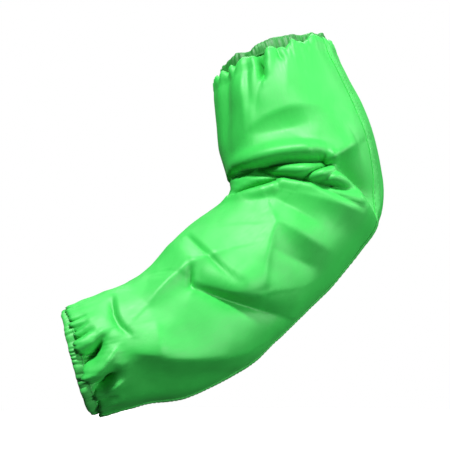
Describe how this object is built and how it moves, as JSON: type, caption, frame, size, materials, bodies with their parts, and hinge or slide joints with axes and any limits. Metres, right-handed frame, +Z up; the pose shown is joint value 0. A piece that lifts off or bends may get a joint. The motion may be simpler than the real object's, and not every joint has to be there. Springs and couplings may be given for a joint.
{
  "type": "welding sleeve",
  "caption": "Protective sleeve of green flame-resistant cloth, bent at the elbow as worn, with an elastic casing gathered round each open end and a flat lengthwise seam.",
  "frame": {"origin": "centre of the upper opening, at the edge of its hem", "axes": "+Z up, +X to the outer side of the bent elbow, -Y to the front of the sleeve; the wrist opening is low at -X"},
  "size_m": [0.2851, 0.1967, 0.3357],
  "materials": {
    "sleeve_cloth": "flame-resistant cotton sateen, slight sheen",
    "hem_cloth": "the same cloth, turned and stitched",
    "seam_cloth": "the same cloth, folded flat and stitched twice",
    "elastic": "woven elastic, matte"
  },
  "bodies": {
    "root": {"sleeve_body": "sleeve_cloth", "upper_hem": "hem_cloth", "wrist_hem": "hem_cloth", "upper_elastic": "elastic", "wrist_elastic": "elastic", "arm_seam": "seam_cloth"}
  },
  "joints": []
}
